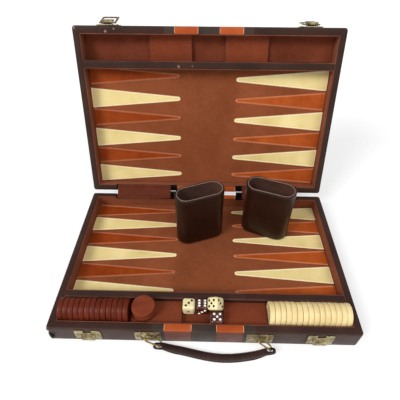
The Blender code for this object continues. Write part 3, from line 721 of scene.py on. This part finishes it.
def make_insert(prefix, matrix):
    """The lined insert: its pockets and sides are painted darker than the tops of its blocks, as shade in
    the recesses.
    """
    node = f"{prefix}_well_insert"
    low, high = local_box(node, matrix)
    steps = insert_steps(node, matrix)
    outline = [(high.x, low.z), (low.x, low.z)]
    for x0, x1, z in steps:
        outline += [(x0, z), (x1, z)]
    lengths = 6
    stops = [low.y + (high.y - low.y) * i / lengths for i in range(lengths + 1)]
    lining = loft([[(x, y, z) for x, z in outline] for y in stops])
    for face in lining.faces:
        # faces below the block tops take the darker lining: painted shade in the recesses
        face.material_index = 0 if face.calc_center_median().z > high.z - 0.1 * MM else 1
    piece = add_piece(f"{prefix}_well_lining", lining, ("well", "pocket"), prefix, matrix, (node,))
    round_edges(piece, 0.7 * MM)
    edges = bmesh.new()
    for (_, x, z0), (_, _, z1) in zip(steps, steps[1:]):
        z = max(z0, z1) - 0.1 * MM
        append(edges, tube([(x, low.y, z), (x, high.y, z)], 0.35 * MM))
    add_piece(f"{prefix}_block_edges", edges, "welt", prefix, matrix)


def point_drift(prefix, side, i, is_cream):
    """How far a point was sewn off its even spacing, towards the rail."""
    share = 1 - i / POINTS_PER_SIDE
    if prefix == "base":
        return -3 * MM * share
    return (-2 if is_cream else -4.4) * MM * share if side > 0 else 0


def point_outline(half, tip, inset, foot, steps):
    """A point's outline from its foot round its tip and back, inset from its edges, as (x, y)."""
    centre = INNER_X - POINT_GAP - POINT_LENGTH + tip
    radius = tip - inset
    turns = [pi * i / steps for i in range(steps + 1)]
    bend = [(centre - radius * sin(turn), -radius * cos(turn)) for turn in turns]
    return [(foot, inset - half), *bend, (foot, half - inset)]


def point_ring(side, middle, half, tip, inset, z):
    """One level of a point, kept clear of the rail."""
    outline = point_outline(half, tip, inset, INNER_X - POINT_GAP - inset, 8)
    edge = RAIL_HIGH.y + 0.2 * MM + inset
    return [(side * x, max(middle + y, edge), z) for x, y in outline]


def zigzag(side, middle, half, tip, pitch, swing):
    """Zigzag sewing along a point's long edges and round its tip."""
    outline = [Vector((x, y, 0)) for x, y in point_outline(half, tip, swing * 0.7, INNER_X - 2 * MM, 6)]
    path = []
    step = 0
    for start, end in zip(outline, outline[1:]):
        run = end - start
        across = Vector((run.y, -run.x, 0)).normalized()
        count = max(1, round(run.length / pitch))
        for i in range(count):
            p = start + run * (i / count) + across * (swing if step % 2 else -swing)
            path.append((side * p.x, max(middle + p.y, RAIL_HIGH.y + 0.6 * MM), POINT_TOP + 0.12 * MM))
            step += 1
    return tube(path, 0.42 * MM, sides=4)


def make_board(prefix, matrix):
    """The lined board, its edge rolled down to the walls."""
    low, high = FIELD_LOW, FIELD_HIGH
    stations = ((0, low.z), (0, BOARD_TOP - 0.8 * MM), (0.3 * MM, BOARD_TOP - 0.2 * MM),
                (1.2 * MM, BOARD_TOP))
    rings = []
    for inset, z in stations:
        outline = rounded_rect(low.x + inset, high.x - inset, low.y + inset, high.y - inset, 0.8 * MM)
        rings.append([(x, y, z) for x, y in outline])
    add_piece(f"{prefix}_board", loft(rings), "lining", prefix, matrix, (f"{prefix}_field",))


def make_points(prefix, matrix):
    """Twelve sewn points, cream with a paler edge or orange, and their zigzag stitching; the orange points
    on the side by the left wall are painted darker, as the shade that wall casts.
    """
    stations = ((0, BOARD_TOP - 0.1 * MM), (0, POINT_TOP - 0.2 * MM), (0.2 * MM, POINT_TOP - 0.04 * MM),
                (0.5 * MM, POINT_TOP), (1.7 * MM, POINT_TOP))
    cream, orange, threads = bmesh.new(), bmesh.new(), bmesh.new()
    pitch = (FIELD_HIGH.y - FIELD_LOW.y) / POINTS_PER_SIDE
    # the orange points on the side by the left wall take the darker copy: painted shade
    shaded_side = -1 if prefix == "base" else 1
    for side in (-1, 1):
        for i in range(POINTS_PER_SIDE):
            is_cream = (i + (side > 0)) % 2 == 0
            middle = FIELD_LOW.y + pitch * (i + 0.5) + point_drift(prefix, side, i, is_cream)
            half, tip = (14.4 * MM, 3.0 * MM) if is_cream else (13.2 * MM, 2.6 * MM)
            point = loft([point_ring(side, middle, half, tip, inset, z) for inset, z in stations])
            bmesh.ops.recalc_face_normals(point, faces=point.faces)
            top = [f for f in point.faces if f.calc_center_median().z > POINT_TOP - 0.01 * MM]
            inner = max(top, key=lambda f: f.calc_area())
            for face in point.faces:
                face.material_index = int(face != inner) if is_cream else int(side == shaded_side)
            if is_cream:
                append(cream, point)
                append(threads, zigzag(side, middle, half, tip, 1.4 * MM, 0.9 * MM), 0)
            else:
                append(orange, point)
                append(threads, zigzag(side, middle, half, tip, 1.5 * MM, 1.25 * MM), 1)
    add_piece(f"{prefix}_points_cream", cream, ("cream_point", "cream_edge"), prefix, matrix)
    add_piece(f"{prefix}_points_orange", orange, ("orange_point", "orange_point_shaded"), prefix, matrix)
    add_piece(f"{prefix}_point_stitching", threads, ("cream_thread", "tan_thread"), prefix, matrix)


# Hinges ----------

def cover_path():
    """The cover's middle line in the y-z plane: over the base's rim, the knuckles, the lid's rim."""
    reach, low, bend = -INNER_REAR + 0.6 * MM, -0.9 * MM, 4.2 * MM
    path = [Vector((0, -reach, low - 1.2 * MM)), Vector((0, -reach + 1.2 * MM, low - 0.1 * MM))]
    path += [Vector((0, -reach + (reach - 6.5 * MM) * t, low + 0.25 * MM)) for t in (0.3, 0.6, 0.9)]
    world = [BASE @ p for p in path]
    flipped = [LID @ p for p in path]
    middle = []
    for i in range(1, 6):
        turn = radians(180) - LID_ANGLE * i / 6
        middle.append(HINGE + Vector((0, bend * cos(turn), bend * sin(turn))))
    return world + middle + list(reversed(flipped))


def cover_grid(path, centre, length, first, last, tuck):
    """A closed pad along part of the path, its long ends rounded and its middle fuller."""
    across, rings = 28, []
    for v in range(first, last + 1):
        before, after = path[max(0, v - 1)], path[min(len(path) - 1, v + 1)]
        along = (after - before).normalized()
        out = RIGHT.cross(along)
        swell = min(1.0, 0.35 + 0.65 * min(v, len(path) - 1 - v) / 3)
        ring_top, ring_low = [], []
        for u in range(across + 1):
            t = 2 * u / across - 1
            x = centre + length / 2 * sin(t * pi / 2)
            edge = (1 - abs(sin(t * pi / 2)) ** 10) ** 0.5 if abs(t) < 1 else 0
            half = 0.75 * MM * swell * (0.35 + 0.65 * edge) - tuck
            point = path[v] + RIGHT * x
            ring_top.append(point + out * half)
            ring_low.append(point - out * half * 0.8)
        rings.append(ring_top + list(reversed(ring_low)))
    return loft(rings)


def make_hinges():
    """Blackened leaves and pins, and a padded cover over each hinge."""
    path = cover_path()
    middle = len(path) // 2
    for side in ("left", "right"):
        for tray in TRAYS:
            refined(f"hinge_leaf_{tray}_{side}", "black", tray, f"hinge_leaf_{tray}_{side}_fine", 0.12 * MM)
        refined(f"hinge_pin_{side}", "black", "hinge_pins", f"hinge_pin_{side}_fine", 0.15 * MM)
        low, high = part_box(f"hinge_cover_base_{side}")
        centre, length = (low.x + high.x) / 2, high.x - low.x
        front_grid = cover_grid(path, centre, length, 0, middle, 0)
        rear_grid = cover_grid(path, centre, length, middle - 1, len(path) - 1, 0.1 * MM)
        front = add_piece(f"hinge_pad_base_{side}", front_grid, "cover", None, sharp=60)
        rear = add_piece(f"hinge_pad_lid_{side}", rear_grid, "cover", None, sharp=60)
        for pad, tray in ((front, "base"), (rear, "lid")):
            smooth(pad, 1)
            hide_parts(f"hinge_cover_{tray}_{side}")
        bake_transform(front)
        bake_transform(rear)


# Latches and handle ----------

def wall_rivets(name, node, tray, spread):
    """Two rivets through a plate on the front wall."""
    matrix = TRAYS[tray]
    low, high = local_box(node, matrix)
    middle = (low + high) / 2
    out = Matrix.Rotation(pi / 2, 4, "X")
    bm = bmesh.new()
    for sign in (-1, 1):
        place = Matrix.Translation((middle.x + sign * spread, SHELL_LOW.y - 1.25 * MM, middle.z))
        append(bm, rivet(1.9 * MM, 0.8 * MM), matrix=place @ out)
    add_piece(name, bm, "brass", tray, matrix)


def grip_sections(matrix):
    """The CAD grip's outline sections along its length, and the sections that only cross its slots.

    A section is (x, y, z, half width, half thickness).
    """
    groups = []
    for point in sorted(points_of("handle_grip", matrix), key=lambda p: p.x):
        if not groups or point.x - groups[-1][0].x > 0.05 * MM:
            groups.append([])
        groups[-1].append(point)
    outline, slots = [], []
    for group in groups:
        low = [min(p[i] for p in group) for i in (1, 2)]
        high = [max(p[i] for p in group) for i in (1, 2)]
        section = (group[0].x, (low[0] + high[0]) / 2, (low[1] + high[1]) / 2,
                   (high[0] - low[0]) / 2, (high[1] - low[1]) / 2)
        narrow = section[3] < 2.7 * MM and group not in (groups[0], groups[-1])
        (slots if narrow else outline).append(section)
    return outline, slots


def strap_ring(section, fullness):
    """A rounded outline round one section of the strap, squarer as its fullness goes from 0 to 1."""
    x, y, z, w, h = section
    ring = []
    for j in range(28):
        k = 2 * pi * j / 28
        ring.append((x, y + w * cos(k) * (1 - 0.12 * fullness * sin(k) ** 4),
                     z + h * sin(k) * (1 - 0.25 * fullness * cos(k) ** 8)))
    return ring


def make_grip():
    """The sewn leather grip: a padded strap with stitching along both edges and a slot at each end."""
    joint = joints["handle_grip_turn"]
    across = -Vector(joint["axis"])
    matrix = Matrix.Translation(joint["pos_m"]) @ across.to_track_quat("X", "Z").to_matrix().to_4x4()
    stations, slots = grip_sections(matrix)
    rings, top_threads = [], ([], [])
    for (x0, *a), (x1, *b) in zip(stations, stations[1:]):
        count = max(1, round((x1 - x0) / (2.5 * MM)))
        for i in range(count):
            t = i / count
            y, z, w, h = (p + (q - p) * t for p, q in zip(a, b))
            x = x0 + (x1 - x0) * t
            rings.append(strap_ring((x, y, z, w, h), 1))
            for line, side in zip(top_threads, (-1, 1)):
                line.append(Vector((x, y + side * 0.76 * w, z + 0.62 * h)))
    rings.append(strap_ring(stations[-1], 0))
    piece = add_piece("grip_leather", loft(rings), "grip", "handle_grip", matrix, ("handle_grip",), sharp=60)
    tool = bmesh.new()
    snug = 0.7 * MM
    for side in (-1, 1):
        ends = [x for x, *_ in slots if x * side > 0]
        half, middle = max((w, y) for x, y, _, w, _ in slots if x * side > 0)
        half -= snug
        outline = rounded_rect(min(ends) + snug, max(ends) - snug, middle - half, middle + half,
                               half - 0.1 * MM, 6)
        append(tool, loft([[(x, y, z) for x, y in outline] for z in (-6 * MM, 6 * MM)]))
    cut_out(piece, add_piece("grip_slot_tool", tool, "grip", None, matrix), 50)
    threads = bmesh.new()
    for line in top_threads:
        inner = [p for p in line if slots[0][0] + 12 * MM < p.x < slots[-1][0] - 12 * MM]
        for a, b in zip(inner, inner[1:]):
            stitch = [a + (b - a) * 0.12, a + (b - a) * 0.5 + UP * 0.25 * MM, a + (b - a) * 0.88]
            append(threads, tube(stitch, 0.3 * MM, sides=5))
    add_piece("grip_stitching", threads, "grip_thread", "handle_grip", matrix)


def make_hardware():
    """The catches, latches and handle fittings, finer than the CAD's and riveted on."""
    for side in ("left", "right"):
        refined(f"catch_plate_{side}", "brass", "base", f"catch_{side}")
        wall_rivets(f"catch_rivets_{side}", f"catch_plate_{side}", "base", 12.4 * MM)
        refined(f"latch_plate_{side}", "brass", "lid", f"latch_base_{side}")
        wall_rivets(f"latch_rivets_{side}", f"latch_plate_{side}", "lid", 12.4 * MM)
        refined(f"latch_pin_{side}", "brass", "lid", f"latch_pin_{side}_fine", 0.15 * MM)
        refined(f"latch_lever_{side}", "brass", f"latch_lever_{side}", f"latch_lever_{side}_fine")
        refined(f"latch_loop_{side}", "brass", f"latch_loop_{side}", f"latch_loop_{side}_fine", 0.3 * MM)
        refined(f"handle_plate_{side}", "brass", "base", f"handle_plate_{side}_fine")
        wall_rivets(f"handle_rivets_{side}", f"handle_plate_{side}", "base", 13 * MM)
        refined(f"handle_ring_{side}", "wire", "handle_rings", f"handle_ring_{side}_fine",
                smooth_levels=2, swell=0.3 * MM)
    make_grip()


# Cups, checkers and dice ----------

def standing_frame(node):
    """The middle of an oval upright node's foot, its turn about z, and its half sizes."""
    points = points_of(node)
    foot = min(p.z for p in points)
    ring = [p for p in points if p.z < foot + 0.05 * MM]
    cx, cy = sum(p.x for p in ring) / len(ring), sum(p.y for p in ring) / len(ring)
    xx = sum((p.x - cx) ** 2 for p in ring)
    yy = sum((p.y - cy) ** 2 for p in ring)
    xy = sum((p.x - cx) * (p.y - cy) for p in ring)
    turn = atan2(2 * xy, xx - yy) / 2
    matrix = Matrix.Translation((cx, cy, foot)) @ Matrix.Rotation(turn, 4, "Z")
    return matrix, local_box(node, matrix)[1]


def oval(half, inset, z, wave=0.0):
    """A flat-sided oval ring of points; wave bends its long sides."""
    r = half.y - inset
    run = half.x - half.y
    points = arc((run, 0), r, -90, 90, 20) + [(-run * t, r) for t in (-0.6, -0.2, 0.2, 0.6)]
    points += arc((-run, 0), r, 90, 270, 20) + [(run * t, -r) for t in (-0.6, -0.2, 0.2, 0.6)]
    return [(x, y + wave * sin(x / half.x * pi), z) for x, y in points]


def cup_rings(half, stations):
    """Oval rings up a cup, bending a little more towards its mouth."""
    return [oval(half, inset, z, 0.4 * MM * (z / half.z) ** 2) for inset, z in stations]


def cup_wall(height):
    """The cup's wall as (inset, z): foot, bulging side, rolled lip and the inside down to the floor."""
    stations = [(4 * MM, 0), (2.2 * MM, 0.2 * MM), (0.9 * MM, 0.9 * MM), (0.3 * MM, 2.2 * MM)]
    stations += [(0.3 * MM * sin(pi * t), height * t) for t in (0.08, 0.2, 0.4, 0.6, 0.8, 0.93)]
    stations += [(0.05 * MM, height - 1.2 * MM), (0.4 * MM, height - 0.35 * MM), (1.1 * MM, height),
                 (1.8 * MM, height - 0.3 * MM), (2.4 * MM, height - 1.1 * MM), (2.4 * MM, height - 9 * MM),
                 (2.5 * MM, 2.6 * MM)]
    return stations


def cup_suede(height):
    """The suede lining's profile as (inset, z), from its foot over its top edge and back down."""
    inset, foot = 2.75 * MM, 3 * MM
    return [(inset, foot), (inset, height - 1.3 * MM), (inset + 0.4 * MM, height - 0.9 * MM),
            (inset + 0.8 * MM, height - 1.3 * MM), (inset + 0.85 * MM, height * 0.5),
            (inset + 1 * MM, foot + 2.5 * MM), (inset + 3 * MM, foot + 1 * MM)]


def make_cups():
    """Leather cups with a rolled lip, a pale line inside it, a side seam and a suede lining."""
    for side in ("left", "right"):
        node = f"cup_{side}"
        matrix, half = standing_frame(node)
        height = half.z
        wall = loft(cup_rings(half, cup_wall(height)))
        add_piece(f"cup_body_{side}", wall, "cup", node, matrix, (node,), sharp=50)
        trim = tube(oval(half, 2.65 * MM, height - 0.55 * MM, 0.4 * MM), 0.42 * MM, closed=True, sides=8)
        seam = []
        for i in range(31):
            t = i / 30
            seam.append((-half.x + 0.4 * MM * sin(pi * t), -1.5 * MM, height * (0.03 + 0.95 * t)))
        append(trim, tube(seam, 0.3 * MM, -RIGHT, flatten=0.6), 1)
        append(trim, tube(oval(half, 0.45 * MM, 3.4 * MM), 0.25 * MM, closed=True), 1)
        add_piece(f"cup_trim_{side}", trim, ("cup_edge", "cup_seam"), node, matrix)
        lining = loft(cup_rings(half, cup_suede(height)))
        add_piece(f"cup_suede_{side}", lining, "suede", node, matrix, (f"cup_lining_{side}",), sharp=50)


def checker(radius, thickness):
    """One checker about x, from x = 0: rounded edge, raised rim and a shallow dished face."""
    near = [(radius * 0.2, 0.35 * MM), (radius * 0.7, 0.35 * MM), (radius * 0.78, 0.05 * MM),
            (radius * 0.9, 0), (radius - 0.35 * MM, 0.3 * MM), (radius, 1.1 * MM)]
    far = [(r, thickness - x) for r, x in reversed(near)]
    bm = turned(near + far, 48)
    bm.transform(Matrix.Rotation(pi / 2, 4, "Y"))
    return bm


def make_checkers():
    """Two rows of single checkers, each a little turned and shifted, and the loose pair."""
    rng = Random(7)
    for colour, count in ROW_COUNTS.items():
        node = f"checker_row_{colour}"
        low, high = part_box(node)
        radius = (high.y - low.y) / 2
        pitch = (high.x - low.x) / count
        bm = bmesh.new()
        for i in range(count):
            lean = Matrix.Rotation(radians(rng.uniform(-1, 1)), 4, "Z")
            spin = Matrix.Rotation(rng.uniform(0, 6), 4, "X")
            y = (low.y + high.y) / 2 + rng.uniform(-0.3, 0.3) * MM
            place = Matrix.Translation((low.x + pitch * i + 0.15 * MM, y, low.z + radius))
            append(bm, checker(radius - 0.1 * MM, pitch - 0.2 * MM), matrix=place @ lean @ spin)
        add_piece(f"checkers_{colour}", bm, f"{colour}_checker", node, replaces=(node,))
    for layer in ("lower", "upper"):
        node = f"checker_loose_{layer}"
        low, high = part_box(node)
        middle = (low + high) / 2
        bm = checker((high.y - low.y) / 2 - 0.1 * MM, high.z - low.z)
        place = Matrix.Translation((middle.x, middle.y, low.z)) @ Matrix.Rotation(-pi / 2, 4, "Y")
        add_piece(f"checker_{layer}", bm, "loose_checker", node, place, (node,))


PIPS = {1: [(0, 0)], 2: [(-1, -1), (1, 1)], 3: [(-1, -1), (0, 0), (1, 1)],
        4: [(-1, -1), (-1, 1), (1, -1), (1, 1)], 5: [(-1, -1), (-1, 1), (0, 0), (1, -1), (1, 1)],
        6: [(-1, -1), (-1, 0), (-1, 1), (1, -1), (1, 0), (1, 1)]}


def die_axes(node):
    """A die's middle and its three face directions."""
    bm = bmesh.new()
    bm.from_mesh(frame["nodes"][node].data)
    bmesh.ops.remove_doubles(bm, verts=bm.verts, dist=0.002 * MM)
    bmesh.ops.dissolve_limit(bm, angle_limit=radians(1), verts=bm.verts, edges=bm.edges)
    faces = sorted(bm.faces, key=lambda f: -f.calc_area())[:6]
    centre = sum((f.calc_center_median() for f in faces), Vector()) / 6
    normals = [f.normal.copy() for f in faces]
    bm.free()
    return centre, normals


def make_die(node, finish, pip, top, front):
    """A rounded die with dished pips; top and front are the numbers that face up and forward."""
    centre, normals = die_axes(node)
    up = max(normals, key=lambda n: n.z + 0.01 * n.x)
    forward = max((n for n in normals if abs(n.dot(up)) < 0.5), key=lambda n: -n.y)
    right = forward.cross(up) * -1
    matrix = Matrix.Translation(centre) @ Matrix((right, -forward, up)).transposed().to_4x4()
    bm = bmesh.new()
    bmesh.ops.create_cube(bm, size=DIE)
    die = add_piece(f"{node}_fine", bm, (finish, pip), node, matrix, (node,))
    bevel = die.modifiers.new("Rounding", "BEVEL")
    bevel.width = 3.4 * MM
    bevel.segments = 6
    bake(die)
    side = next(n for n in range(1, 7) if n not in (top, 7 - top, front, 7 - front))
    pips = bmesh.new()
    for number, way in ((top, UP), (front, FRONT), (side, RIGHT)):
        for shown, out in ((number, way), (7 - number, -way)):
            turn = out.to_track_quat("Z", "Y").to_matrix().to_4x4()
            for x, y in PIPS[shown]:
                ball = bmesh.new()
                bmesh.ops.create_uvsphere(ball, u_segments=14, v_segments=8, radius=1.75 * MM)
                place = Matrix.Translation((x * 3.6 * MM, y * 3.6 * MM, DIE / 2 + 0.55 * MM))
                append(pips, ball, 1, turn @ place)
    cut_out(die, add_piece(f"{node}_pips", pips, (finish, pip), None, matrix), 40)


def main():
    """The studio, the two trays, and everything on and in them."""
    add_camera()
    add_studio()
    for prefix, matrix in TRAYS.items():
        make_shell(prefix, matrix)
        make_welts(prefix, matrix)
        make_seams(prefix, matrix)
        make_rail(prefix, matrix)
        make_insert(prefix, matrix)
        make_board(prefix, matrix)
        make_points(prefix, matrix)
    make_worn_corner()
    make_hinges()
    make_hardware()
    make_cups()
    make_checkers()
    make_die("die_cream_flat", "cream_die", "pip_black", 3, 1)
    make_die("die_brown_rear", "brown_die", "pip_white", 6, 3)
    make_die("die_cream_leaning", "cream_die", "pip_black", 5, 1)
    make_die("die_brown_front", "brown_die", "pip_white", 5, 3)


main()
